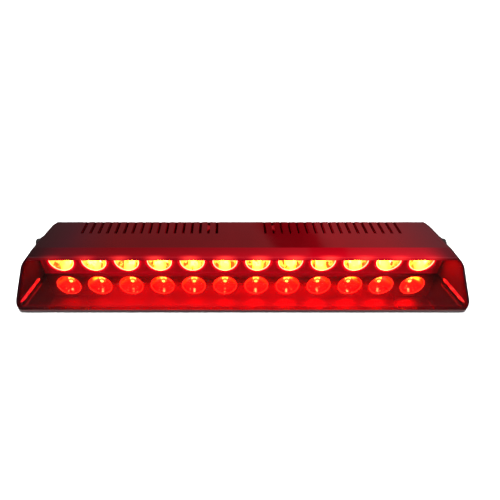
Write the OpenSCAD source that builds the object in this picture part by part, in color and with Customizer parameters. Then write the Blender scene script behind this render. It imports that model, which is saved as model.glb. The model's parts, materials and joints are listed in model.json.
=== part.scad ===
// Third brake light: a hooded LED bar that stands on a rear parcel shelf or dash.
// Twelve red LEDs shine out of round reflector cups, under a vented hood and
// through a slanted clear lens. Millimetres, +Z up, the light shines towards -Y.
// The origin is on the resting plane, in the middle of the overall width and depth.

/* [Housing] */
// Overall width across the front corners of the base
body_w = 357.8; // [350:0.2:364]
// Depth of the housing, without the cable grommet
body_d = 79; // [79:0.5:84]
// Height from the chamber floor to the flat top of the hood
hood_h = 31.2; // [31:0.1:33]
// How much each side draws in per millimetre towards the rear
side_taper = 0.12; // [0.11:0.001:0.13]
// Wall thickness of the hood
wall = 2; // [1.8:0.1:2.2]
// Thickness of the base tray
base_t = 2.2; // [2.2:0.1:3]
// Height of the feet below the base
foot_stand = 1; // [0.6:0.1:1.4]

/* [Hood] */
// How far the lip stands in front of the reflector panel
overhang = 15.3; // [12:0.1:17]
// Depth of the sloping band between the lip and the flat top
bevel_d = 12.3; // [9:0.1:12.5]
// Height of the front edge of the lip above the chamber floor
lip_h = 29.75; // [29.4:0.05:30.2]
// Clear height of the light chamber
chamber_h = 28.3; // [28:0.1:28.6]
// Rounding along the top side edges
shoulder_r = 5.6; // [5:0.1:6.5]

/* [Vents] */
// Slots in each of the two groups
vent_count = 17; // [8:1:17]
// Distance from slot to slot
vent_pitch = 7.25; // [6.5:0.05:7.3]
// Width of a slot
vent_w = 2.5; // [1.5:0.1:3]
// Distance from the middle of the hood to the first slot
vent_start = 21.1; // [18:0.1:22]

/* [Light] */
// Number of LEDs
led_count = 12; // [12:1:12]
// Distance from LED to LED
led_pitch = 28; // [27.5:0.1:28]
// Radius of a reflector cup at its rim
cup_r = 10.2; // [9.8:0.1:11.4]
// Depth of a reflector cup
cup_d = 8; // [7.8:0.1:9]
// Height of the LED axis above the chamber floor
led_h = 13.95; // [13.5:0.05:14.5]
// Thickness of the clear lens
lens_t = 1.6; // [1.2:0.1:2]

/* [Thumb screws] */
// Diameter of the knurled head
knob_d = 9; // [8:0.1:10]
// Length of the knurled head
knob_l = 4; // [3.8:0.05:6]
// Nominal thread diameter
thread_d = 4; // [4:0.1:4]

/* [Cable inlet] */
// Diameter of the bore through the grommet
cable_d = 5; // [4:0.1:5.5]
// How far the grommet stands out of the rear wall
grommet_out = 3; // [2:0.1:4]

/* [Hidden] */
$fn = 48;
EPS = 0.01;                                   // skin thickness of hull members
CUT = 5;                                      // how far a cutter runs past its face
FIT = 0.15;                                   // assembly gap between housing parts

// Levels and planes
floor_z = foot_stand + base_t;
ceiling_z = floor_z + chamber_h;
lip_z = floor_z + lip_h;
top_z = floor_z + hood_h;
led_z = floor_z + led_h;
front_y = -(body_d + grommet_out) / 2;
rear_y = front_y + body_d;
panel_setback = 43.3;
panel_y = front_y + panel_setback;
lip_y = panel_y - overhang;
crease_y = lip_y + bevel_d;
rear_in_y = rear_y - wall;
side_mid = body_w / 2 - side_taper * panel_setback;

// Corner radii
front_corner_r = 5.2;
rear_corner_r = 5;
rear_edge_r = 1.5;
lip_bevel = 0.13;                             // depth of the narrow bevel on the lip's edge
shoulder_in_r = shoulder_r - wall;

// Light unit, from front to back
panel_t = 1.5;
cup_wall = 1.1;
cup_hole_r = 3.7;
cup_steps = 10;
board_y = panel_y + cup_d + 0.2;
board_t = 1.6;
board_l = 318;
board_h = 20;
pad_y = board_y + board_t;
pad_t = 0.5;
sink_y = pad_y + pad_t;
sink_t = 2;
sink_h = 22;
fin_l = 14;
fin_t = 1.2;
fin_pitch = led_pitch / 4;
fin_count = 15;
sink_x0 = 36;
sink_l = led_pitch * 3.7;
sink_screw_x = [for (i = [2:4]) i * led_pitch];
led_base = 5;
led_base_t = 0.8;
led_dome_r = 2.35;

// Lens
lens_slope = atan2(lip_h, lip_y - front_y);
lens_recess = 0.4;
gasket_t = 1;
gasket_w = 1;

// Vent slots
vent_y = panel_y + 16.6;
vent_notch = 0.8;
function vent_x(i) = vent_start + vent_pitch * i;

// Base screws and their posts
post_at = [[162, 31], [167.2, 9.5], [30, 31]];
post_r = 3.4;
pilot_r = 1.45;
pilot_l = 13;
screw_r = 1.4;
screw_l = 12;
screw_head_r = 2.8;
screw_head_t = 1.2;
screw_sink = 1.3;
screw_clear_r = 1.7;

// Driver board
drv_w = 46;
drv_y0 = 19.5;
drv_y1 = 34;
drv_lift = 4;
drv_z = floor_z + drv_lift;
drv_t = 1.6;
drv_top = drv_z + drv_t;
drv_screw_at = [[20.5, 21.7], [20.5, 31.8]];
drv_post_r = 2.2;
drv_screw_r = 0.9;

// Feet
foot_r = 5.5;
foot_recess = 0.5;
foot_at = [[150, -27], [150, 24]];

// Thumb screws
knob_y = panel_y + 17.5;
knob_z = floor_z + 20;
knob_teeth = 28;
knurl_depth = 0.35;
seat_out = 2;
seat_x = side_x(knob_y) + seat_out;           // face of the raised seat on the side wall
seat_r = 6.4;
washer_r = 5.6;
washer_t = 1.35;
gap = 0.05;
head_x = seat_x + washer_t + 2 * gap;
shank_r = thread_d / 2 - 0.05;
shank_l = 11;
insert_r = 2.9;
insert_l = 8;
insert_bore_r = thread_d / 2 + 0.05;
side_boss_r = 5;
side_boss_l = 12;

// Grommet
grommet_z = led_z;
grommet_neck_r = 4;
grommet_flange_r = 5.6;
grommet_in = 1.5;

// Colours
PLASTIC = [0.16, 0.05, 0.06];
DARK = [0.09, 0.04, 0.045];
RED = [0.85, 0.05, 0.06];
CHROME = [0.85, 0.85, 0.87];
RUBBER = [0.08, 0.08, 0.08];
ALUMINIUM = [0.7, 0.71, 0.73];
STEEL = [0.6, 0.6, 0.62];
BRASS = [0.78, 0.62, 0.28];

function led_x(i) = (i - (led_count - 1) / 2) * led_pitch;
function two_digits(n) = n < 10 ? str("0", n) : str(n);
function led_name(i) = str("led_", two_digits(i + 1));

// Half width of the housing at depth y, outside
function side_x(y) = side_mid - side_taper * (y - panel_y);

// ---- placing helpers ----

module both_sides() {
    children();
    mirror([1, 0, 0]) children();
}

// side is 1 for the right end and -1 for the left end
module on_side(side) {
    if (side > 0) children();
    else mirror([1, 0, 0]) children();
}

// A child drawn along +Z is turned to run towards +Y from the point [x, y, z]
module along_y(x, y, z) {
    translate([x, y, z]) rotate([-90, 0, 0]) children();
}

// A child drawn along +Z is turned to run towards +X from the point [x, y, z]
module along_x(x, y, z) {
    translate([x, y, z]) rotate([0, 90, 0]) children();
}

// A box given by its lowest and highest corners
module box(low, high) {
    translate(low) cube(high - low);
}

// ---- housing ----

module plan_outline() {
    hull() {
        both_sides() {
            translate([side_x(front_y + front_corner_r) - front_corner_r, front_y + front_corner_r])
                circle(r = front_corner_r);
            translate([side_x(rear_y - rear_corner_r) - rear_corner_r, rear_y - rear_corner_r])
                circle(r = rear_corner_r);
        }
    }
}

// Prism that rounds the two front corners and leaves the walls behind them alone
module front_corner_prism() {
    linear_extrude(top_z + CUT) hull() both_sides() {
        translate([side_x(front_y + front_corner_r) - front_corner_r, front_y + front_corner_r])
            circle(r = front_corner_r);
        translate([side_mid, rear_y + CUT]) circle(r = front_corner_r);
    }
}

// Solid outer form of the hood: flat top, sloping band, slanted front plane
module hood_form() {
    shoulder_z = top_z - shoulder_r;
    rear_x = side_x(rear_y - shoulder_r) - shoulder_r;
    band_front_z = lip_z - (lip_y - front_y) * (hood_h - lip_h) / bevel_d;
    intersection() {
        hull() {
            translate([0, 0, floor_z]) linear_extrude(EPS) hull() both_sides() {
                translate([side_x(front_y) - 1, front_y]) square(1);
                translate([side_x(rear_y - rear_corner_r) - rear_corner_r, rear_y - rear_corner_r])
                    circle(r = rear_corner_r);
            }
            both_sides() {
                translate([rear_x, rear_y - shoulder_r, shoulder_z]) sphere(shoulder_r, $fn = 32);
                translate([side_x(crease_y) - shoulder_r, crease_y, shoulder_z])
                    sphere(shoulder_r, $fn = 32);
                along_y(side_x(front_y) - shoulder_r, front_y, band_front_z - shoulder_r)
                    cylinder(r = shoulder_r, h = EPS, $fn = 32);
            }
            along_x(-rear_x, rear_y - rear_edge_r, top_z - rear_edge_r)
                cylinder(r = rear_edge_r, h = 2 * rear_x, $fn = 24);
        }
        front_corner_prism();
        front_slab(0, body_w);
        lip_bevel_block();
    }
}

// Block under the narrow bevel that breaks the edge of the lip
module lip_bevel_block() {
    band_slope = atan2(hood_h - lip_h, bevel_d);
    translate([0, lip_y, lip_z]) rotate([(band_slope + lens_slope) / 2, 0, 0])
        translate([-body_w, -body_w, -body_w - lip_bevel]) cube([2 * body_w, 2 * body_w, body_w]);
}

// Inside space between the walls, drawn in by inset; it runs out past the front
module hood_space(inset) {
    open_y = front_y - CUT;
    back_y = rear_in_y - inset;
    round_r = shoulder_in_r;
    hull() {
        for (y = [open_y, back_y - EPS]) {
            half = side_x(y) - wall - inset;
            both_sides() {
                along_y(half - round_r, y, ceiling_z - inset - round_r)
                    cylinder(r = round_r, h = EPS, $fn = 32);
                box([half - 1, y, floor_z - CUT], [half, y + EPS, floor_z]);
            }
        }
    }
}

// One slot: it cuts the top up to the rear wall and runs over its edge as a shallow notch
module vent_slot(x) {
    slot_end_y = rear_in_y + 0.6;
    translate([x + vent_w / 2, 0, 0]) rotate([90, 0, -90])
        linear_extrude(vent_w)
            polygon([[-vent_y, ceiling_z - 1], [-vent_y, top_z + CUT], [-rear_y - CUT, top_z + CUT],
                     [-rear_y - CUT, top_z - vent_notch], [-slot_end_y, top_z - vent_notch],
                     [-slot_end_y, ceiling_z - 1]]);
}

module hood_cover() {
    color(PLASTIC) difference() {
        union() {
            difference() {
                hood_form();
                hood_space(0);
                for (i = [0:vent_count - 1]) both_sides() vent_slot(vent_x(i));
            }
            both_sides() {
                for (p = post_at) translate([p[0], p[1], floor_z + EPS])
                    cylinder(r = post_r, h = chamber_h + 1);
                along_x(seat_x - side_boss_l, knob_y, knob_z) cylinder(r = side_boss_r, h = side_boss_l);
                along_x(seat_x - 3.5, knob_y, knob_z) cylinder(r = seat_r, h = 3.5);
            }
        }
        both_sides() {
            for (p = post_at) translate([p[0], p[1], floor_z - 1])
                cylinder(r = pilot_r, h = pilot_l + 1);
            along_x(seat_x - side_boss_l + 1, knob_y, knob_z)
                cylinder(r = insert_r + 0.02, h = side_boss_l + CUT);
        }
        along_y(0, rear_in_y - CUT, grommet_z) cylinder(r = grommet_neck_r + gap, h = 2 * CUT + wall);
    }
}

module base_tray() {
    rim_h = 3;
    rim_t = 1.2;
    rib_y = panel_y + panel_t + 0.1;
    rib_t = 1.2;
    rib_h = 0.8;
    color(DARK) difference() {
        union() {
            translate([0, 0, foot_stand]) linear_extrude(base_t) plan_outline();
            // locating rim behind the light chamber, just inside the rear wall
            for (s = [-1, 1]) translate([s * 90, 0, 0])
                box([-45, rear_in_y - FIT - rim_t, floor_z - 1], [45, rear_in_y - FIT, floor_z + rim_h]);
            both_sides() for (p = drv_screw_at) translate([p[0], p[1], floor_z - 1])
                cylinder(r = drv_post_r, h = drv_lift + 1);
            // ribs that hold the foot of the reflector strip from behind
            both_sides() box([20, rib_y, floor_z - 1], [150, rib_y + rib_t, floor_z + rib_h]);
        }
        both_sides() {
            for (p = post_at) translate([p[0], p[1], 0]) {
                cylinder(r = screw_clear_r, h = floor_z + CUT);
                cylinder(r = screw_head_r + 0.3, h = foot_stand + screw_sink);
            }
            for (p = drv_screw_at) translate([p[0], p[1], floor_z - 0.5])
                cylinder(r = drv_screw_r + gap, h = drv_lift + CUT);
            for (p = foot_at) translate([p[0], p[1], 0])
                cylinder(r = foot_r + 0.2, h = foot_stand + foot_recess);
        }
    }
}

// Slanted slab under the front plane, from depth d0 to depth d1 behind it
module front_slab(d0, d1) {
    translate([0, front_y, floor_z]) rotate([lens_slope, 0, 0])
        translate([-body_w, -body_w, -d1]) cube([2 * body_w, 2 * body_w, d1 - d0]);
}

// Part of the light chamber that the lens and its seal may fill
module front_space(inset) {
    intersection() {
        hood_space(inset);
        box([-body_w, front_y - CUT, floor_z + inset], [body_w, panel_y, ceiling_z - inset]);
    }
}

module front_lens() {
    color([0.75, 0.2, 0.2, 0.35]) intersection() {
        front_space(FIT);
        front_slab(lens_recess, lens_recess + lens_t);
        hood_form();
    }
}

module lens_gasket() {
    start = lens_recess + lens_t + EPS;
    color(RUBBER) difference() {
        intersection() {
            front_space(gap);
            front_slab(start, start + gasket_t);
            hood_form();
        }
        front_space(gasket_w + gap);
    }
}

// ---- light unit ----

// Inner radius of a cup at distance t behind its rim: a parabola
function cup_in(t) = sqrt(cup_r ^ 2 - (cup_r ^ 2 - cup_hole_r ^ 2) * t / cup_d);

module cup_shell() {
    inner = [for (k = [0:cup_steps]) let (t = cup_d * k / cup_steps) [cup_in(t), t]];
    outer = [for (k = [cup_steps:-1:0]) let (t = cup_d * k / cup_steps) [cup_in(t) + cup_wall, t]];
    rotate_extrude($fn = 64) polygon(concat(inner, outer));
}

module reflector_strip() {
    half = side_x(panel_y + panel_t) - wall - FIT;
    top = ceiling_z - FIT;
    sink_boss_r = 2.8;
    color(CHROME) difference() {
        union() {
            difference() {
                along_y(0, panel_y, 0) linear_extrude(panel_t) hull() both_sides() {
                    translate([half - shoulder_in_r, -top + shoulder_in_r]) circle(r = shoulder_in_r);
                    translate([half - 1, -floor_z - FIT - 1]) square(1);
                }
                for (i = [0:led_count - 1]) along_y(led_x(i), panel_y - 1, led_z)
                    cylinder(r = cup_r + cup_wall / 2, h = panel_t + 2);
            }
            for (i = [0:led_count - 1]) along_y(led_x(i), panel_y, led_z) cup_shell();
            for (x = sink_screw_x) both_sides() along_y(x, panel_y + panel_t - 0.2, led_z)
                cylinder(r = sink_boss_r, h = board_y - panel_y - panel_t + 0.2);
        }
        for (x = sink_screw_x) both_sides() along_y(x, panel_y + panel_t + 1.7, led_z)
            cylinder(r = 1.3, h = cup_d);
        for (x = sink_screw_x) both_sides() for (s = [-1, 1])
            along_y(x + s * led_pitch / 2, panel_y, led_z) cylinder(r = cup_hole_r, h = cup_d + 1);
    }
}

module led(i) {
    color(RED) along_y(led_x(i), board_y, led_z) rotate([180, 0, 0]) {
        translate([-led_base / 2, -led_base / 2, 0]) cube([led_base, led_base, led_base_t]);
        translate([0, 0, led_base_t - 0.1]) intersection() {
            sphere(led_dome_r);
            translate([-led_base, -led_base, 0]) cube(2 * led_base);
        }
    }
}

module sink_screw_holes(y, length, r) {
    for (x = sink_screw_x) both_sides() along_y(x, y - 1, led_z) cylinder(r = r, h = length + 2);
}

module led_board() {
    color([0.92, 0.92, 0.9]) difference() {
        box([-board_l / 2, board_y, led_z - board_h / 2], [board_l / 2, pad_y, led_z + board_h / 2]);
        sink_screw_holes(board_y, board_t, 1.5);
    }
}

module thermal_pad() {
    color([0.55, 0.6, 0.68]) difference() {
        box([sink_x0, pad_y + EPS, led_z - board_h / 2], [sink_x0 + sink_l, sink_y - EPS, led_z + board_h / 2]);
        sink_screw_holes(pad_y, pad_t, 1.6);
    }
}

module heat_sink() {
    low = led_z - sink_h / 2;
    color(ALUMINIUM) difference() {
        union() {
            box([sink_x0, sink_y, low], [sink_x0 + sink_l, sink_y + sink_t, low + sink_h]);
            for (k = [0:fin_count - 1]) {
                x = sink_x0 + 2.5 + k * fin_pitch;
                box([x - fin_t / 2, sink_y + sink_t - 0.5, low], [x + fin_t / 2, sink_y + fin_l, low + sink_h]);
            }
        }
        sink_screw_holes(sink_y, sink_t, 1.5);
    }
}

module pan_screw(head_r, head_t, shaft_r, shaft_l) {
    difference() {
        union() {
            cylinder(r1 = head_r - 0.4, r2 = head_r, h = head_t / 2, $fn = 32);
            translate([0, 0, head_t / 2]) cylinder(r = head_r, h = head_t / 2);
            translate([0, 0, head_t - 0.1]) cylinder(r = shaft_r, h = shaft_l + 0.1);
        }
        for (a = [0, 90]) rotate(a) translate([-head_r * 0.6, -0.3, -1])
            cube([head_r * 1.2, 0.6, 1 + head_t * 0.5]);
    }
}

module base_screws() {
    color(STEEL) both_sides() for (p = post_at)
        translate([p[0], p[1], foot_stand + screw_sink - screw_head_t - EPS])
            pan_screw(screw_head_r, screw_head_t, screw_r, screw_l);
}

module board_screws() {
    color(STEEL) for (x = sink_screw_x) both_sides()
        along_y(x, sink_y + sink_t + 1.4 + EPS, led_z) rotate([180, 0, 0])
            pan_screw(2.4, 1.4, 1.25, sink_t + pad_t + board_t + 4);
}

// ---- driver board ----

module driver_board() {
    color([0.05, 0.35, 0.18]) difference() {
        box([-drv_w / 2, drv_y0, drv_z + EPS], [drv_w / 2, drv_y1, drv_top]);
        for (p = drv_screw_at) both_sides() translate([p[0], p[1], 0]) cylinder(r = 1.1, h = top_z);
    }
}

module driver_screws() {
    head_t = 1.1;
    color(STEEL) both_sides() for (p = drv_screw_at)
        translate([p[0], p[1], drv_top + head_t + EPS]) rotate([180, 0, 0])
            pan_screw(1.8, head_t, drv_screw_r, 4.5);
}

// A chip on legs, centred on [x, y] on top of the driver board
module chip(x, y, length, width, height, legs) {
    leg_w = 0.45;
    pitch = length / legs;
    translate([x, y, drv_top + EPS]) {
        translate([-length / 2, -width / 2, 0.15]) cube([length, width, height]);
        for (s = [-1, 1], k = [0:legs - 1])
            translate([-length / 2 + (k + 0.5) * pitch - leg_w / 2, s * (width / 2 + 0.3) - 0.45, 0])
                cube([leg_w, 0.9, 0.4]);
    }
}

module controller_chip() {
    color([0.1, 0.1, 0.11]) chip(-8.4, 31, 4.9, 3.9, 1.5, 4);
}

module power_transistor(x) {
    color([0.12, 0.12, 0.13]) translate([x, 31, drv_top + EPS]) {
        translate([-3.2, -2, 0.1]) cube([6.4, 4.4, 2.2]);
        translate([-2.6, -2.9, 0]) cube([5.2, 4, 0.5]);
    }
}

module capacitor(x) {
    can_r = 3.15;
    can_h = 11;
    color([0.1, 0.12, 0.3]) translate([x, 24, drv_top + EPS]) rotate_extrude()
        polygon([[0, 0], [can_r, 0], [can_r, 1], [can_r - 0.3, 1.4], [can_r, 1.8], [can_r, can_h - 0.4],
                 [can_r - 0.4, can_h], [0, can_h]]);
}

module inductor() {
    color([0.65, 0.35, 0.15]) translate([-5, 23.2, drv_top + EPS]) rotate_extrude()
        polygon([[0, 0], [3.6, 0], [3.6, 1], [2.9, 1.2], [2.9, 4], [3.6, 4.2], [3.6, 5.2], [0, 5.2]]);
}

module terminal_block() {
    poles = 2;
    pole_w = 5;
    color([0.1, 0.35, 0.6]) difference() {
        box([-poles * pole_w / 2, 27.2, drv_top + EPS], [poles * pole_w / 2, 33.7, drv_top + 8.5]);
        for (k = [0:poles - 1]) translate([(k - (poles - 1) / 2) * pole_w, 0, drv_top]) {
            translate([0, 30.2, 5]) cylinder(r = 1.7, h = 10);
            translate([-1.5, 31, 1.5]) cube([3, 5, 3]);
        }
    }
}

lead_x = [3.3, 5.7];
lead_r = 0.6;
lead_bend_r = 2.6;
header_y = 22.2;
socket_y = header_y - 2 * lead_bend_r;
lead_top_z = led_z + 4;

module led_header() {
    color([0.9, 0.88, 0.82]) box([1.7, header_y - 2, drv_top + EPS], [7.3, header_y + 2, drv_top + 5]);
}

module led_socket() {
    color([0.9, 0.88, 0.82]) box([1.7, pad_y + EPS, led_z - 4], [7.3, socket_y + 1.8, led_z + 1]);
}

// A wire that leaves the socket upwards, turns over and drops into the header
module lead(x) {
    translate([x, socket_y, led_z + 1 + EPS]) cylinder(r = lead_r, h = lead_top_z - led_z - 1);
    translate([x, header_y, drv_top + 5 + EPS]) cylinder(r = lead_r, h = lead_top_z - drv_top - 5);
    translate([x, header_y - lead_bend_r, lead_top_z]) rotate([90, 0, 90])
        rotate_extrude(angle = 180) translate([lead_bend_r, 0]) circle(r = lead_r);
}

module lead_red() {
    color([0.8, 0.05, 0.05]) lead(lead_x[0]);
}

module lead_black() {
    color([0.07, 0.07, 0.07]) lead(lead_x[1]);
}

// ---- cable inlet, feet and thumb screws ----

module cable_grommet() {
    bore_r = cable_d / 2;
    neck_end = grommet_in + gap + wall;
    color(RUBBER) along_y(0, rear_in_y - grommet_in - gap, grommet_z) rotate_extrude(convexity = 4)
        polygon([[bore_r, 0], [grommet_flange_r - 0.5, 0], [grommet_flange_r, 0.5],
                 [grommet_flange_r, grommet_in], [grommet_neck_r, grommet_in],
                 [grommet_neck_r, neck_end + gap], [grommet_flange_r, neck_end + gap],
                 [grommet_flange_r, neck_end + 1], [bore_r + 1.2, neck_end + grommet_out],
                 [bore_r, neck_end + grommet_out]]);
}

module foot(k) {
    x = (k % 2 == 0 ? -1 : 1) * foot_at[0][0];
    y = k < 2 ? foot_at[0][1] : foot_at[1][1];
    h = foot_stand + foot_recess - EPS;
    color(RUBBER) translate([x, y, 0]) rotate_extrude()
        polygon([[0, 0], [foot_r - 0.4, 0], [foot_r, 0.4], [foot_r, h], [0, h]]);
}

module side_insert(side) {
    color(BRASS) on_side(side) along_x(seat_x - insert_l - 0.3, knob_y, knob_z) difference() {
        cylinder(r = insert_r, h = insert_l);
        translate([0, 0, -1]) cylinder(r = insert_bore_r, h = insert_l + 2);
    }
}

module side_washer(side) {
    color(RUBBER) on_side(side) along_x(seat_x + gap, knob_y, knob_z) difference() {
        cylinder(r = washer_r, h = washer_t);
        translate([0, 0, -1]) cylinder(r = thread_d / 2 + 0.3, h = washer_t + 2);
    }
}

module thumb_screw(side) {
    head_r = knob_d / 2;
    step = 180 / knob_teeth;
    color(STEEL) on_side(side) along_x(head_x, knob_y, knob_z) {
        cylinder(r = head_r - 0.8, h = 0.8);
        translate([0, 0, 0.7]) linear_extrude(knob_l - 1.3)
            polygon([for (k = [0:2 * knob_teeth - 1])
                let (r = k % 2 == 0 ? head_r : head_r - knurl_depth) [r * cos(k * step), r * sin(k * step)]]);
        translate([0, 0, knob_l - 0.7]) cylinder(r1 = head_r - 0.4, r2 = head_r - 1, h = 0.7);
        translate([0, 0, -shank_l]) cylinder(r = shank_r, h = shank_l + 0.2);
    }
}

// ---- assembly ----

hood_cover();
base_tray();
front_lens();
lens_gasket();
reflector_strip();
for (i = [0:led_count - 1])
    led(i);
led_board();
mirror([1, 0, 0]) thermal_pad();  // thermal_pad_left
thermal_pad();  // thermal_pad_right
mirror([1, 0, 0]) heat_sink();  // heat_sink_left
heat_sink();  // heat_sink_right
driver_board();
controller_chip();
power_transistor(11);  // power_transistor_1
power_transistor(-15);  // power_transistor_2
capacitor(-13.5);  // capacitor_1
capacitor(13.5);  // capacitor_2
inductor();
terminal_block();
led_header();
led_socket();
lead_red();
lead_black();
cable_grommet();
base_screws();
board_screws();
driver_screws();
side_insert(-1);  // insert_left
side_insert(1);  // insert_right
side_washer(-1);  // washer_left
side_washer(1);  // washer_right
thumb_screw(-1);  // knob_left
thumb_screw(1);  // knob_right
for (k = [0:3])
    foot(k);
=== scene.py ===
import json
import math

import bmesh
import bpy
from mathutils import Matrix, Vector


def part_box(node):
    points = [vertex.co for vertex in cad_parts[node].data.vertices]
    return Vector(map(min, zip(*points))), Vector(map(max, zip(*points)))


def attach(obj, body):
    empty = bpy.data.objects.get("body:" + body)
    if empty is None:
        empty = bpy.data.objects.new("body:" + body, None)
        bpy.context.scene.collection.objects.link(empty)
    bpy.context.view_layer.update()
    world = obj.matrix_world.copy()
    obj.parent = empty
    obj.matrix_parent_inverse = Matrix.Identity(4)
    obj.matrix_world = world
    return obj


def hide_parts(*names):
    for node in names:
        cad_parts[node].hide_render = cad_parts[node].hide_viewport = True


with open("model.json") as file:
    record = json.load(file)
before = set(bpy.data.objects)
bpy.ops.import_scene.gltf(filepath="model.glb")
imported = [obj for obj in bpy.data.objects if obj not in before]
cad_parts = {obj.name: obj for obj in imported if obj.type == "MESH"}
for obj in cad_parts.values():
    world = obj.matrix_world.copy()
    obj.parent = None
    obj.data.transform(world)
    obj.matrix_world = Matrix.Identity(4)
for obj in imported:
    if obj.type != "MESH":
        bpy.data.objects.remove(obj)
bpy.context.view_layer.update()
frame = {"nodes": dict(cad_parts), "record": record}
nodes = frame["nodes"]

MM = 0.001

# ---- places, from the frame and the part's own proportions ----
OVERHANG = 15.3 * MM                      # the lip in front of the cup panel
BAND_DEPTH = 12.3 * MM                    # sloping band of the hood
VENT_SETBACK = 16.6 * MM                  # front ends of the vents behind the cup panel
WALL = 2 * MM
SIDE_TAPER = 0.12                         # the sides draw in towards the rear
CUP_R = 10.2 * MM
STRIP_GAP = 0.15 * MM                     # over the cup strip
BOARD_GAP = 0.2 * MM                      # between the strip and the LED board
LED_COUNT = 12

hood_low, hood_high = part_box("hood_cover")
strip_low, strip_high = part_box("reflector_strip")
led_low, led_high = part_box("led_01")
next_low, next_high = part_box("led_02")
HALF_W = hood_high.x
FLOOR_Z = hood_low.z
TOP_Z = hood_high.z
FRONT_Y = hood_low.y
REAR_Y = hood_high.y
PANEL_Y = strip_low.y
LIP_Y = PANEL_Y - OVERHANG
CREASE_Y = LIP_Y + BAND_DEPTH
VENT_Y = PANEL_Y + VENT_SETBACK
CEILING_Z = strip_high.z + STRIP_GAP
LED_Z = (led_low.z + led_high.z) / 2
LED_PITCH = (next_low.x + next_high.x - led_low.x - led_high.x) / 2
LAST_LED_X = (LED_COUNT - 1) / 2 * LED_PITCH
CUP_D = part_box("led_board")[0].y - PANEL_Y - BOARD_GAP
# outer face of the right side wall, level with the cup panel
SIDE_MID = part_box("base_tray")[1].x - SIDE_TAPER * (PANEL_Y - FRONT_Y)

# ---- camera: over the front of the lamp, looking down at it ----
CAMERA_AT = (-13 * MM, PANEL_Y - 248.9 * MM, FLOOR_Z + 217.7 * MM)
CAMERA_PITCH = 37.6                       # degrees below the horizon
CAMERA_LENS = 27.14                       # lens and sensor in millimetres
CAMERA_SENSOR = 36
CAMERA_SHIFT = 0.0477                     # keeps the lamp in the middle of the picture

# ---- light and surroundings ----
STUDIO_SIZE = 12                          # metres
STUDIO_DROP = 0.2 * MM                    # floor of the studio under the lamp's feet
SUN = 7.0                                 # light falling on the floor, watts per square metre
SUN_ANGLE = 60                            # degrees across, for soft shadows
SEEN = 1.0                                # surroundings as the camera sees them
MIRRORED = 0.3                            # surroundings as the lamp mirrors them
# dark card in the surroundings, as sideways over forward slope, and its lean with height
CARD_AT = 0.275
CARD_HALF = 0.085
CARD_LEVEL = 0.62
CARD_LEAN = -1.2
CARD_EDGE = 70                            # how sharp its edges are
# the surroundings grow brighter towards the right
SIDE_SLOPE, SIDE_LEVEL, SIDE_LEAST, SIDE_MOST = 0.55, 0.85, 0.45, 1.3
# emission strengths: the LEDs are lamps; the cups, bead and fins carry painted glow
LED_GLOW = 60
CUP_GLOW = 32
BEAD_GLOW = 0.65
SINK_GLOW = 0.25


def make_camera():
    data = bpy.data.cameras.new("camera")
    data.lens = CAMERA_LENS
    data.sensor_width = CAMERA_SENSOR
    data.shift_x = CAMERA_SHIFT
    data.clip_start = 0.01
    camera = bpy.data.objects.new("camera", data)
    camera.location = CAMERA_AT
    camera.rotation_euler = (math.radians(90 - CAMERA_PITCH), 0, 0)
    bpy.context.scene.collection.objects.link(camera)
    bpy.context.scene.camera = camera


# ---- studio ----
def make_world(seen, around):
    """White where the camera looks past the lamp, dimmer in what the lamp itself reflects.

    A dark card stands behind the lamp, a little to the right; only reflections show it.
    """
    world = bpy.data.worlds.new("studio")
    world.use_nodes = True
    tree = world.node_tree

    def math_node(operation, *values, clamp=False):
        made = tree.nodes.new("ShaderNodeMath")
        made.operation = operation
        made.use_clamp = clamp
        for socket, value in zip(made.inputs, values):
            if isinstance(value, (int, float)):
                socket.default_value = value
            else:
                tree.links.new(value, socket)
        return made.outputs[0]

    direction = tree.nodes.new("ShaderNodeSeparateXYZ")
    tree.links.new(tree.nodes.new("ShaderNodeTexCoord").outputs["Generated"], direction.inputs["Vector"])
    x, y, z = (direction.outputs[axis] for axis in "XYZ")
    away = math_node("DIVIDE", x, y)
    bend = math_node("MULTIPLY", math_node("SUBTRACT", z, CARD_LEVEL), CARD_LEAN)
    offset = math_node("ABSOLUTE", math_node("SUBTRACT", math_node("ADD", away, bend), CARD_AT))
    outside = math_node("MULTIPLY", math_node("SUBTRACT", offset, CARD_HALF), CARD_EDGE, clamp=True)
    sideways = math_node("MULTIPLY_ADD", away, SIDE_SLOPE, SIDE_LEVEL)
    sideways = math_node("MINIMUM", math_node("MAXIMUM", sideways, SIDE_LEAST), SIDE_MOST)
    lit = math_node("MAXIMUM", math_node("MULTIPLY", outside, sideways), math_node("LESS_THAN", y, 0))
    dim = math_node("MULTIPLY", lit, around)
    path = tree.nodes.new("ShaderNodeLightPath")
    mix = tree.nodes.new("ShaderNodeMix")
    tree.links.new(path.outputs["Is Camera Ray"], mix.inputs["Factor"])
    tree.links.new(dim, mix.inputs["A"])
    mix.inputs["B"].default_value = seen
    tree.links.new(mix.outputs["Result"], tree.nodes["Background"].inputs["Strength"])
    tree.nodes["Background"].inputs["Color"].default_value = (1, 1, 1, 1)
    bpy.context.scene.world = world


def overhead_light(strength, angle):
    data = bpy.data.lights.new("overhead", "SUN")
    data.energy = strength
    data.angle = math.radians(angle)
    light = bpy.data.objects.new("overhead", data)
    bpy.context.scene.collection.objects.link(light)


def make_floor():
    bpy.ops.mesh.primitive_plane_add(size=STUDIO_SIZE, location=(0, 0, -STUDIO_DROP))
    floor = bpy.context.object
    floor.name = "studio_floor"
    m = bpy.data.materials.new("studio_floor")
    m.use_nodes = True
    shader = m.node_tree.nodes["Principled BSDF"]
    shader.inputs["Base Color"].default_value = (0.92, 0.92, 0.92, 1)
    shader.inputs["Roughness"].default_value = 0.9
    shader.inputs["Specular IOR Level"].default_value = 0.0
    floor.data.materials.append(m)


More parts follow.
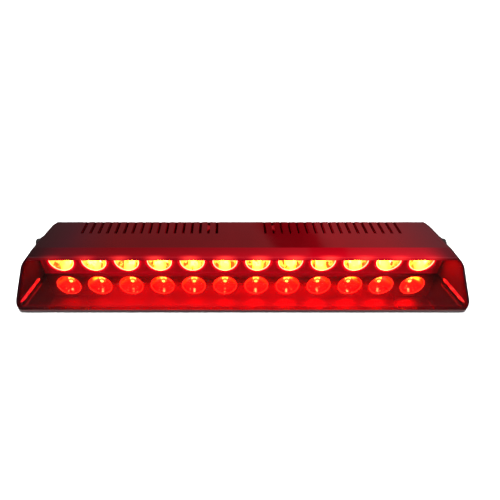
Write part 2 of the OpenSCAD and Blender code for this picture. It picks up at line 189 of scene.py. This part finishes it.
# ---- materials ----
class Material:
    """A Principled material whose colour, roughness and bump come from nodes in object space."""

    def __init__(self, name, **sockets):
        self.data = bpy.data.materials.new(name)
        self.data.use_nodes = True
        self.tree = self.data.node_tree
        self.shader = self.tree.nodes["Principled BSDF"]
        self.place = self.tree.nodes.new("ShaderNodeTexCoord").outputs["Object"]
        for key, value in sockets.items():
            self.set(key.replace("_", " "), value)

    def set(self, socket, value):
        self.shader.inputs[socket].default_value = value

    def node(self, kind, **values):
        made = self.tree.nodes.new(kind)
        for key, value in values.items():
            setattr(made, key, value)
        return made

    def join(self, output, socket):
        self.tree.links.new(output, socket)

    def feed(self, socket, value):
        """Link an output, or set a constant."""
        if isinstance(value, (int, float)):
            socket.default_value = value
        else:
            self.join(value, socket)

    def math(self, operation, *values):
        made = self.node("ShaderNodeMath", operation=operation)
        for socket, value in zip(made.inputs, values):
            self.feed(socket, value)
        return made.outputs[0]

    def times(self, first, *others):
        """Product of all the values."""
        for other in others:
            first = self.math("MULTIPLY", first, other)
        return first

    def most(self, first, *others):
        """Largest of the values."""
        for other in others:
            first = self.math("MAXIMUM", first, other)
        return first

    def away(self, value):
        """Distance of a value from zero."""
        return self.math("ABSOLUTE", value)

    def rest(self, value):
        """What a share leaves of the whole."""
        return self.math("SUBTRACT", 1.0, value)

    def paint(self, socket, output):
        """Let an output drive a socket of the shader."""
        self.join(output, self.shader.inputs[socket])

    def axes(self):
        split = self.node("ShaderNodeSeparateXYZ")
        self.join(self.place, split.inputs["Vector"])
        return split.outputs["X"], split.outputs["Y"], split.outputs["Z"]

    def rise(self, value, start, end, low=0.0, high=1.0):
        """Smooth step of a value from start to end."""
        made = self.node("ShaderNodeMapRange", interpolation_type="SMOOTHSTEP")
        for socket, amount in zip(("From Min", "From Max", "To Min", "To Max"), (start, end, low, high)):
            made.inputs[socket].default_value = amount
        self.join(value, made.inputs["Value"])
        return made.outputs["Result"]

    def mix(self, factor, a, b, blend="MIX"):
        made = self.node("ShaderNodeMix", data_type="RGBA", blend_type=blend)
        self.feed(made.inputs["Factor"], factor)
        # the node has an A and a B for each kind of data; these are the ones for colour
        for socket, value in ((made.inputs[6], a), (made.inputs[7], b)):
            if isinstance(value, tuple):
                socket.default_value = (*value, 1)
            else:
                self.join(value, socket)
        return made.outputs[2]

    def cloud(self, scale):
        """Slow change of brightness over a moulded face, to multiply its colour by."""
        return self.ramp(self.noise(scale), [(0.35, (0.85,) * 3), (0.65, (1.1,) * 3)])

    def noise(self, scale, detail=3, roughness=0.5):
        noise = self.node("ShaderNodeTexNoise")
        noise.inputs["Scale"].default_value = scale
        noise.inputs["Detail"].default_value = detail
        noise.inputs["Roughness"].default_value = roughness
        self.join(self.place, noise.inputs["Vector"])
        return noise.outputs["Fac"]

    def ramp(self, value, stops):
        ramp = self.node("ShaderNodeValToRGB")
        elements = ramp.color_ramp.elements
        while len(elements) < len(stops):
            elements.new(0.5)
        for element, (position, color) in zip(elements, stops):
            element.position = position
            element.color = (*color, 1)
        self.join(value, ramp.inputs["Fac"])
        return ramp.outputs["Color"]

    def color(self, dark, light, scale):
        self.paint("Base Color", self.ramp(self.noise(scale), [(0.3, dark), (0.7, light)]))

    def uneven(self, low, high, scale):
        """Roughness between two limits, changing from place to place."""
        return self.rise(self.noise(scale, 4), 0.3, 0.7, low, high)

    def roughness(self, low, high, scale):
        self.paint("Roughness", self.uneven(low, high, scale))

    def bump(self, scale, depth, strength=0.5):
        """Grain of the surface, its depth in millimetres."""
        bump = self.node("ShaderNodeBump")
        bump.inputs["Strength"].default_value = strength
        bump.inputs["Distance"].default_value = depth * MM
        self.join(self.noise(scale, 2), bump.inputs["Height"])
        self.paint("Normal", bump.outputs["Normal"])

    def cup_offset(self):
        """X and Z of a point from the axis of the nearest cup."""
        x, _, z = self.axes()
        across = self.math("SUBTRACT", self.math("PINGPONG", x, LED_PITCH), LED_PITCH / 2)
        return across, self.math("SUBTRACT", z, LED_Z)


def hood_plastic():
    """Deep red moulded plastic; a painted glow stands in for the light shining through it towards the
    lip.
    """
    m = Material("hood_plastic", IOR=1.75)
    x, y, z = m.axes()
    along = m.math("MULTIPLY_ADD", x, 0.5 / HALF_W, 0.5)
    aside = m.away(x)

    # regions: the flank is the outer side, the ceiling is the underside of the lip
    side_x = m.math("ADD", aside, m.times(m.math("SUBTRACT", y, PANEL_Y), SIDE_TAPER))
    indoors = m.rest(m.rise(side_x, SIDE_MID - 1.6 * MM, SIDE_MID - 1.2 * MM))
    under = m.rise(z, CEILING_Z, CEILING_Z - 1 * MM)
    inner_wall = m.times(under, indoors)
    flank = m.rise(side_x, SIDE_MID - 5 * MM, SIDE_MID - 2.5 * MM)
    ceiling = m.times(m.math("SUBTRACT", m.rise(z, CEILING_Z + 0.06 * MM, CEILING_Z + 0.02 * MM), under),
                      m.rise(y, PANEL_Y + 1 * MM, PANEL_Y), indoors,
                      m.rise(y, LIP_Y + 0.3 * MM, LIP_Y + 0.8 * MM))
    lip_face = m.times(m.rise(y, LIP_Y + 0.3 * MM, LIP_Y + 0.1 * MM),
                       m.rise(z, CEILING_Z - 1 * MM, CEILING_Z))
    lip_edge = m.rise(z, TOP_Z - 1.2 * MM, TOP_Z - 1.36 * MM)
    sloping = m.rise(y, CREASE_Y + 0.3 * MM, CREASE_Y - 0.3 * MM)

    # colour: painted light, nearly black at the left end, warmest right of the middle
    body = m.ramp(along, [(0.0, (0.003, 0.003, 0.003)), (0.09, (0.018, 0.0022, 0.004)),
                          (0.2, (0.052, 0.0008, 0.0015)), (0.34, (0.06, 0.0006, 0.0015)),
                          (0.52, (0.058, 0.0006, 0.0015)), (0.72, (0.105, 0.0006, 0.002)),
                          (0.84, (0.085, 0.0006, 0.002)), (0.96, (0.035, 0.001, 0.003))])
    color = m.mix(1.0, body, m.cloud(14), "MULTIPLY")
    # painted shade: the lip's front face is darker than the rest
    color = m.mix(lip_face, color, (0.03, 0.0002, 0.001))
    color = m.mix(flank, color, (0.02, 0.004, 0.006))
    # painted light: the inner side walls are red, dimmer at the left end than the right
    color = m.mix(inner_wall, color, m.mix(along, (0.03, 0.0, 0.002), (0.11, 0.0, 0.005)))
    m.paint("Base Color", m.mix(ceiling, color, (0.4, 0.002, 0.01)))
    m.paint("Metallic", m.most(ceiling, inner_wall, flank))

    # tint and gloss of its reflections
    tint = m.mix(m.times(sloping, m.rise(along, 0.0, 0.12)), (1, 0.09, 0.1), (1, 0.008, 0.05))
    tint = m.mix(m.most(lip_edge, lip_face), tint, (0.25, 0.004, 0.012))
    tint = m.mix(flank, tint, (0.06, 0.02, 0.025))
    m.paint("Specular Tint", m.mix(inner_wall, tint, (0.6, 0.001, 0.02)))
    gloss = m.uneven(0.06, 0.1, 90)
    worn_edge = m.times(lip_edge, m.rise(along, 0.7, 0.2, 0.45, 0.7))
    m.paint("Roughness", m.most(gloss, worn_edge, m.times(inner_wall, 0.6), m.times(flank, 0.75)))

    # painted glow on the sloping band, standing in for LED light through the plastic; strongest at the
    # lip and in front of each cup
    across = m.cup_offset()[0]
    band = m.math("MULTIPLY_ADD", m.rise(y, CREASE_Y + 0.5 * MM, CREASE_Y - 1.5 * MM), 0.55,
                  m.times(m.rise(y, CREASE_Y - 2 * MM, LIP_Y), 0.45))
    inward = m.rise(aside, HALF_W - 10 * MM, HALF_W - 34 * MM)
    spot = m.times(m.rise(m.away(across), 12 * MM, 0.0), m.rise(aside, HALF_W * 1.25, HALF_W * 0.3))
    near_lip = m.rise(y, LIP_Y + 4.5 * MM, LIP_Y)
    band = m.times(band, inward, m.rise(along, 0.05, 0.9, 0.1, 0.5))
    hot = m.times(near_lip, inward, m.math("MULTIPLY_ADD", spot, 0.85, 0.02))
    high = m.rise(z, TOP_Z - 4 * MM, TOP_Z - 2 * MM)
    # painted glow on the walls of the vents, standing in for stray light, more towards the middle
    from_mid_plate = m.away(m.math("SUBTRACT", z, CEILING_Z + 1.3 * MM))
    vents = m.times(m.rise(y, VENT_Y - 1 * MM, VENT_Y), m.rise(y, REAR_Y - 2.2 * MM, REAR_Y - 2.6 * MM),
                    m.rise(aside, 110 * MM, 60 * MM, 0.025, 0.14),
                    m.rise(from_mid_plate, 1.4 * MM, 1.2 * MM))
    m.paint("Emission Color", m.mix(m.times(spot, near_lip), (1, 0.0, 0.016), (1, 0.04, 0.03)))
    m.paint("Emission Strength", m.math("MULTIPLY_ADD", m.math("ADD", band, hot), high, vents))
    m.bump(900, 0.04, 0.12)
    return m.data


def base_plastic():
    """Glossy floor of the light chamber, red with painted LED light that is darker towards its ends; the
    rest is nearly black.
    """
    m = Material("base_plastic", IOR=2.0)
    x, y, z = m.axes()
    out = m.times(m.away(x), 1 / HALF_W)
    inside = m.rise(z, FLOOR_Z - 0.35 * MM, FLOOR_Z - 0.1 * MM)
    # painted light: red where the LEDs light the floor, darker towards its ends
    floor = m.ramp(out, [(0.0, (0.15, 0.0002, 0.0015)), (0.55, (0.135, 0.0002, 0.0015)),
                         (0.78, (0.032, 0.0003, 0.001)), (0.97, (0.006, 0.001, 0.0015))])
    floor = m.mix(1.0, floor, m.cloud(45), "MULTIPLY")
    # painted shade under the lip, just in front of the cup panel
    shade = m.rise(y, PANEL_Y - 18.5 * MM, PANEL_Y - 8 * MM, 0.0, 0.8)
    floor = m.mix(shade, floor, (0.004, 0.0, 0.0002))
    m.paint("Base Color", m.mix(inside, (0.006, 0.0012, 0.0015), floor))
    m.paint("Specular Tint", m.mix(inside, (0.14, 0.02, 0.03), (1.0, 0.16, 0.08)))
    # painted glow standing in for scattered light in the corner under the cups
    m.set("Emission Color", (1.0, 0.0, 0.012, 1))
    foot = m.times(m.rise(y, PANEL_Y - 6 * MM, PANEL_Y - 1 * MM), m.rise(out, 0.9, 0.6, 0.0, 0.28))
    m.paint("Emission Strength", m.times(foot, inside))
    gloss = m.uneven(0.03, 0.06, 120)
    m.paint("Roughness", m.math("ADD", gloss, m.times(m.rest(inside), 0.3)))
    m.bump(700, 0.02, 0.1)
    return m.data


def lens_plastic():
    """Nearly invisible window."""
    m = Material("clear_lens", Alpha=0.05, IOR=1.5)
    m.color((0.03, 0.01, 0.01), (0.04, 0.012, 0.012), 30)
    m.roughness(0.02, 0.04, 80)
    return m.data


def seal_silicone():
    """Clear silicone with a red cast."""
    m = Material("seal_silicone", Alpha=0.06, IOR=1.4, Specular_Tint=(1.0, 0.1, 0.12, 1))
    m.color((0.2, 0.004, 0.008), (0.28, 0.006, 0.01), 200)
    m.roughness(0.25, 0.4, 300)
    return m.data


def bead_resin():
    """Glossy red bead at the foot of a side wall; it reflects the row of LEDs, and a painted glow adds to
    its bright streak.
    """
    m = Material("bead_resin", IOR=1.9, Specular_Tint=(1.0, 0.03, 0.04, 1))
    m.color((0.45, 0.004, 0.01), (0.6, 0.008, 0.014), 250)
    m.roughness(0.12, 0.22, 300)
    # painted glow, in patches, for the bright streak along the bead
    m.paint("Emission Color", m.ramp(m.noise(260), [(0.35, (0.2, 0.0, 0.003)), (0.5, (0.7, 0.003, 0.008)),
                                                    (0.68, (1, 0.07, 0.04))]))
    m.set("Emission Strength", BEAD_GLOW)
    m.bump(420, 0.4, 0.35)
    return m.data


def cup_radius(m):
    """Distance of a point from the axis of the nearest cup, with its two parts."""
    across, up = m.cup_offset()
    flat = m.node("ShaderNodeCombineXYZ")
    m.join(across, flat.inputs["X"])
    m.join(up, flat.inputs["Y"])
    length = m.node("ShaderNodeVectorMath", operation="LENGTH")
    m.join(flat.outputs["Vector"], length.inputs[0])
    return length.outputs["Value"], across, up


def reflector():
    """Metallised strip: each cup wall carries a painted glow of its LED's light, and the flat face
    between them a deep red painted halo.
    """
    m = Material("reflector", Metallic=0.6, Specular_Tint=(1.0, 0.1, 0.1, 1))
    m.color((0.3, 0.001, 0.003), (0.38, 0.0015, 0.004), 120)
    m.roughness(0.12, 0.25, 150)
    x, y, z = m.axes()
    radius, across, up = cup_radius(m)
    sideways = m.away(across)
    depth = m.math("DIVIDE", m.math("SUBTRACT", y, PANEL_Y), CUP_D)

    # painted glow on the wall of a cup: yellow below, red above
    patches = m.noise(150, 2, 0.6)
    heat = m.math("MULTIPLY_ADD", m.math("SUBTRACT", patches, 0.5), 1.5, depth)
    lower = m.ramp(heat, [(0.0, (0.08, 0.01, 0.001)), (0.14, (0.7, 0.024, 0.001)),
                          (0.26, (1, 0.034, 0.003)), (0.55, (1, 0.042, 0.004)),
                          (0.8, (1, 0.06, 0.01)), (1.0, (1, 0.08, 0.05))])
    upper = m.ramp(heat, [(0.1, (0.3, 0.002, 0.002)), (0.3, (0.9, 0.005, 0.006)),
                          (0.9, (1, 0.012, 0.006))])
    wall = m.mix(m.rise(up, 2 * MM, -1.5 * MM), upper, lower)
    # painted reflection: duller patches standing in for a cup mirroring its own dark side
    dull = m.times(m.rise(sideways, 3.2 * MM, 4.6 * MM), m.rise(sideways, 8.8 * MM, 7.6 * MM),
                   m.rise(up, -2.5 * MM, -4 * MM), m.rise(up, -9 * MM, -7.6 * MM),
                   m.rise(m.noise(330, 1), 0.42, 0.54, 0.0, 0.97))
    wall = m.mix(dull, wall, (0.017, 0.005, 0.0002))
    # painted highlights, brightest beside the LED, on the side towards the middle of the lamp, with a
    # painted yellow fan below it
    lean = m.away(m.math("MULTIPLY_ADD", x, 4.5 * MM / HALF_W, across))
    caustic = m.times(m.rise(lean, 4.4 * MM, 1.6 * MM), m.rise(depth, 0.3, 0.55),
                      m.rise(up, -0.5 * MM, -2 * MM), m.rise(patches, 0.3, 0.46))
    wall = m.mix(caustic, wall, (1, 0.9, 0.035))
    fan = m.away(m.math("MULTIPLY_ADD", x, 2.5 * MM / HALF_W, across))
    fan = m.times(m.rise(fan, 5.2 * MM, 2 * MM, 0.0, 0.9), m.rise(up, -3 * MM, -5 * MM),
                  m.rise(patches, 0.32, 0.5))
    wall = m.mix(fan, wall, (1, 0.7, 0.008))
    # painted highlight specks and one painted glint near the top of the rim
    speck_glint = m.times(m.rise(m.noise(520, 2), 0.66, 0.72, 0.0, 0.6), m.rise(up, 5 * MM, 7 * MM))
    wall = m.mix(speck_glint, wall, (1, 0.5, 0.2))
    glint = m.times(m.rise(sideways, 1.2 * MM, 0.5 * MM), m.rise(up, 7.2 * MM, 8 * MM),
                    m.rise(up, 9.7 * MM, 9.2 * MM), m.rise(patches, 0.38, 0.55))
    wall = m.mix(glint, wall, (1, 0.8, 0.3))
    # painted glow along the front edge of each cup
    wall = m.mix(m.rise(depth, 0.1, 0.02), wall, (1, 0.036, 0.018))

    # painted glow on the flat face: a halo round each cup, set to one level near the floor, fading past
    # the outermost ones
    rim = CUP_R + 0.4 * MM
    halo = m.mix(m.rise(radius, rim, CUP_R + 3.6 * MM), (0.03, 0.0, 0.0003), (0.0075, 0.0, 0.0001))
    foot = m.rise(z, FLOOR_Z + 4 * MM, FLOOR_Z + 1 * MM, 0.0, 0.7)
    halo = m.mix(foot, halo, (0.0115, 0.0, 0.0002))
    ends = m.rise(m.away(x), LAST_LED_X + 11 * MM, LAST_LED_X + 14 * MM, 0.0, 0.75)
    halo = m.mix(ends, halo, (0.0006, 0.0, 0.0))
    m.paint("Emission Color", m.mix(m.math("LESS_THAN", radius, rim), halo, wall))
    m.set("Emission Strength", CUP_GLOW)
    return m.data


def led_glow():
    """LED: a small yellow-hot die and a painted highlight crescent under it, in a red-orange dome."""
    m = Material("led_red", Roughness=0.2)
    m.color((0.9, 0.1, 0.05), (1, 0.2, 0.1), 300)
    radius, _, up = cup_radius(m)
    glow = m.ramp(m.noise(900, 2), [(0.35, (0.5, 0.02, 0.002)), (0.65, (0.9, 0.08, 0.012))])
    # painted highlight: a yellow crescent under the die
    crescent = m.times(m.rise(radius, 2.1 * MM, 2.5 * MM), m.rise(up, -0.2 * MM, -1.4 * MM))
    glow = m.mix(crescent, glow, (1, 0.8, 0.1))
    m.paint("Emission Color", m.mix(m.rise(radius, 1.7 * MM, 1.1 * MM), glow, (1, 0.9, 0.15)))
    m.set("Emission Strength", LED_GLOW)
    return m.data


def simple(name, dark, light, scale, rough, bump_scale, bump_depth, **sockets):
    """A material of one colour with fine grain."""
    m = Material(name, **sockets)
    m.color(dark, light, scale)
    m.roughness(*rough, scale * 2)
    m.bump(bump_scale, bump_depth)
    return m.data


def sink_anodised():
    """Red anodised fins, with a painted glow standing in for stray light from the LEDs inside the
    housing.
    """
    m = Material("sink_anodised", Metallic=0.7)
    m.color((0.1, 0.002, 0.006), (0.16, 0.003, 0.01), 500)
    m.roughness(0.35, 0.5, 900)
    m.bump(3000, 0.03)
    m.set("Emission Color", (1.0, 0.0, 0.03, 1))
    m.set("Emission Strength", SINK_GLOW)
    return m.data


# dark and light colour, colour scale, roughness range, bump scale, bump depth in mm, other sockets
PLAIN = {
    "black_rubber": ((0.012, 0.012, 0.012), (0.025, 0.025, 0.025), 300, (0.6, 0.8), 2500, 0.06, {}),
    "white_board": ((0.7, 0.7, 0.68), (0.8, 0.8, 0.78), 200, (0.3, 0.45), 900, 0.03, {}),
    "thermal_pad": ((0.3, 0.35, 0.42), (0.4, 0.45, 0.52), 300, (0.7, 0.9), 1500, 0.05, {}),
    "green_board": ((0.01, 0.12, 0.05), (0.02, 0.2, 0.08), 200, (0.2, 0.4), 900, 0.02, {}),
    "chip_black": ((0.01, 0.01, 0.011), (0.02, 0.02, 0.022), 600, (0.5, 0.7), 4000, 0.02, {}),
    "capacitor_sleeve": ((0.02, 0.03, 0.12), (0.03, 0.05, 0.2), 200, (0.2, 0.35), 800, 0.02, {}),
    "copper_ferrite": ((0.2, 0.07, 0.03), (0.35, 0.13, 0.05), 900, (0.3, 0.5), 3000, 0.08, {}),
    "terminal_plastic": ((0.02, 0.12, 0.28), (0.03, 0.18, 0.36), 200, (0.35, 0.5), 900, 0.02, {}),
    "connector_plastic": ((0.6, 0.57, 0.48), (0.75, 0.72, 0.63), 200, (0.35, 0.5), 900, 0.02, {}),
    "lead_red": ((0.4, 0.01, 0.01), (0.55, 0.02, 0.02), 300, (0.35, 0.5), 900, 0.02, {}),
    "lead_black": ((0.012, 0.012, 0.012), (0.02, 0.02, 0.02), 300, (0.35, 0.5), 900, 0.02, {}),
    "zinc_steel": ((0.5, 0.5, 0.48), (0.65, 0.65, 0.63), 700, (0.2, 0.35), 2500, 0.02, {"Metallic": 1.0}),
    "knob_steel": ((0.012, 0.009, 0.009), (0.02, 0.014, 0.014), 700, (0.5, 0.65), 2500, 0.03,
                   {"Specular_IOR_Level": 0.12}),
    "brass": ((0.55, 0.38, 0.12), (0.7, 0.5, 0.2), 700, (0.2, 0.35), 2500, 0.02, {"Metallic": 1.0}),
}
# finishes that differ from a node's own slot
FINISH = {"lens_gasket": "seal_silicone", "washer_left": "knob_steel", "washer_right": "knob_steel"}


def dress():
    made = {
        "seal_silicone": seal_silicone(),
        "hood_plastic": hood_plastic(),
        "base_plastic": base_plastic(),
        "clear_lens": lens_plastic(),
        "reflector_chrome": reflector(),
        "led_red": led_glow(),
        "sink_aluminium": sink_anodised(),
    }
    for name, (*values, sockets) in PLAIN.items():
        made[name] = simple(name, *values, **sockets)
    for row in frame["record"]["subparts"]:
        mesh = nodes[row["node"]].data
        mesh.materials.clear()
        mesh.materials.append(made[FINISH.get(row["node"], row["material_slot"])])
    return made


# ---- pieces ----
BEAD_R = 1.2 * MM
BEAD_HEIGHT = 2.6 * MM                    # over the floor
BEAD_START = PANEL_Y - 9 * MM
BEAD_END = FRONT_Y + 4 * MM
THREAD_R = 1.95 * MM
THREAD_ROWS = 126
THREAD_FACETS = 36
KNURL_ROWS = 22
HEAD_FACETS = 156
SHARP_ANGLE = 38                          # degrees; edges over it stay sharp


def new_piece(name, mesh, material, body="housing"):
    piece = bpy.data.objects.new(name, mesh)
    bpy.context.scene.collection.objects.link(piece)
    mesh.materials.append(material)
    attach(piece, body)
    return piece


def side_in(y):
    """Inner face of the right side wall at depth y."""
    return SIDE_MID - WALL - SIDE_TAPER * (y - PANEL_Y)


def ring_faces(shape, loops):
    """Join rings of vertices one after the other and close both ends."""
    around = len(loops[0])
    for one, two in zip(loops, loops[1:]):
        for k in range(around):
            shape.faces.new((one[k], one[(k + 1) % around], two[(k + 1) % around], two[k]))
    shape.faces.new(loops[0])
    shape.faces.new(loops[-1])


def smooth_mesh(shape, name):
    """Turn a finished shape into a smooth-shaded mesh."""
    bmesh.ops.recalc_face_normals(shape, faces=shape.faces)
    for face in shape.faces:
        face.smooth = True
    mesh = bpy.data.meshes.new(name)
    shape.to_mesh(mesh)
    shape.free()
    return mesh


def corner_bead(name, side, material):
    """A bead laid along the foot of the side wall, thinner towards both ends."""
    rings, sides = 40, 16
    shape = bmesh.new()
    loops = []
    for i in range(rings + 1):
        t = i / rings
        y = BEAD_START + (BEAD_END - BEAD_START) * t
        swell = min(1.0, 9 * t, 9 * (1 - t)) ** 0.5
        ripple = 1 + 0.07 * math.sin(17 * t) + 0.05 * math.sin(41 * t)
        radius = max(0.05 * MM, BEAD_R * swell * ripple)
        x = side_in(y) - 0.35 * radius
        loop = []
        for k in range(sides):
            turn = 2 * math.pi * k / sides
            loop.append(shape.verts.new((side * (x + radius * math.cos(turn)), y,
                                         FLOOR_Z + BEAD_HEIGHT + radius * math.sin(turn))))
        loops.append(loop)
    ring_faces(shape, loops)
    new_piece(name, smooth_mesh(shape, name), material)


def lathe(shape, stations, around, centre, side):
    """Add a closed surface turned about X; stations give a place and a radius for each turn angle."""
    loops = []
    for along, radius in stations:
        loop = []
        for k in range(around):
            turn = 2 * math.pi * k / around
            reach = radius(turn)
            loop.append(shape.verts.new((side * along, centre[0] + reach * math.cos(turn),
                                         centre[1] + reach * math.sin(turn))))
        loops.append(loop)
    ring_faces(shape, loops)


def plain(radius):
    """Round section."""
    return lambda turn: radius


def knurl(radius, along, teeth=26, depth=0.32 * MM, lead=2.4 / MM):
    """Two crossed families of grooves leave diamonds."""
    def reach(turn):
        first = abs(math.sin(teeth / 2 * turn + lead * along))
        second = abs(math.sin(teeth / 2 * turn - lead * along))
        return radius - depth * (1 - min(1.0, 1.5 * min(first, second)))
    return reach


def thread(radius, along, pitch=0.7 * MM, depth=0.38 * MM):
    """One groove that winds along the shank."""
    def reach(turn):
        phase = (along / pitch - turn / (2 * math.pi)) % 1
        return radius - depth * abs(2 * phase - 1)
    return reach


def thumb_screw(side_name, side, material):
    """Knurled head with a dished end, on a threaded shank; it stands in for the plain knob of the CAD."""
    low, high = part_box("knob_" + side_name)
    washer_low, washer_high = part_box("washer_" + side_name)
    centre = ((low.y + high.y) / 2, (low.z + high.z) / 2)
    inner, end = sorted((abs(low.x), abs(high.x)))
    foot = max(abs(washer_low.x), abs(washer_high.x)) + 0.05 * MM
    head_r = (high.z - low.z) / 2
    shape = bmesh.new()
    head = [(foot, plain(head_r - 0.9 * MM)), (foot + 0.35 * MM, plain(head_r - 0.8 * MM)),
            (foot + 0.4 * MM, plain(head_r - 0.45 * MM))]
    start, stop = foot + 0.7 * MM, end - 0.55 * MM
    for i in range(KNURL_ROWS + 1):
        along = start + (stop - start) * i / KNURL_ROWS
        head.append((along, knurl(head_r, along)))
    head += [(end - 0.15 * MM, plain(head_r - 0.6 * MM)), (end, plain(head_r - 0.8 * MM)),
             (end, plain(head_r - 1.5 * MM)), (end - 0.35 * MM, plain(head_r - 1.9 * MM)),
             (end - 0.4 * MM, plain(0.4 * MM))]
    lathe(shape, head, HEAD_FACETS, centre, side)
    shank = [(inner, plain(THREAD_R - 0.6 * MM))]
    for i in range(THREAD_ROWS + 1):
        along = inner + 0.4 * MM + (foot - inner) * i / THREAD_ROWS
        shank.append((along, thread(THREAD_R, along)))
    lathe(shape, shank, THREAD_FACETS, centre, side)
    mesh = smooth_mesh(shape, "thumb_screw_" + side_name)
    mesh.set_sharp_from_angle(angle=math.radians(SHARP_ANGLE))
    piece = new_piece("thumb_screw_" + side_name, mesh, material, side_name + "_knob")
    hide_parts("knob_" + side_name)


def make_pieces(made):
    resin = bead_resin()
    for name, side in (("corner_bead_left", -1), ("corner_bead_right", 1)):
        corner_bead(name, side, resin)
    for name, side in (("left", -1), ("right", 1)):
        thumb_screw(name, side, made["knob_steel"])


make_camera()
make_world(SEEN, MIRRORED)
make_floor()
overhead_light(SUN, SUN_ANGLE)
make_pieces(dress())
bpy.context.scene.view_settings.view_transform = "Standard"
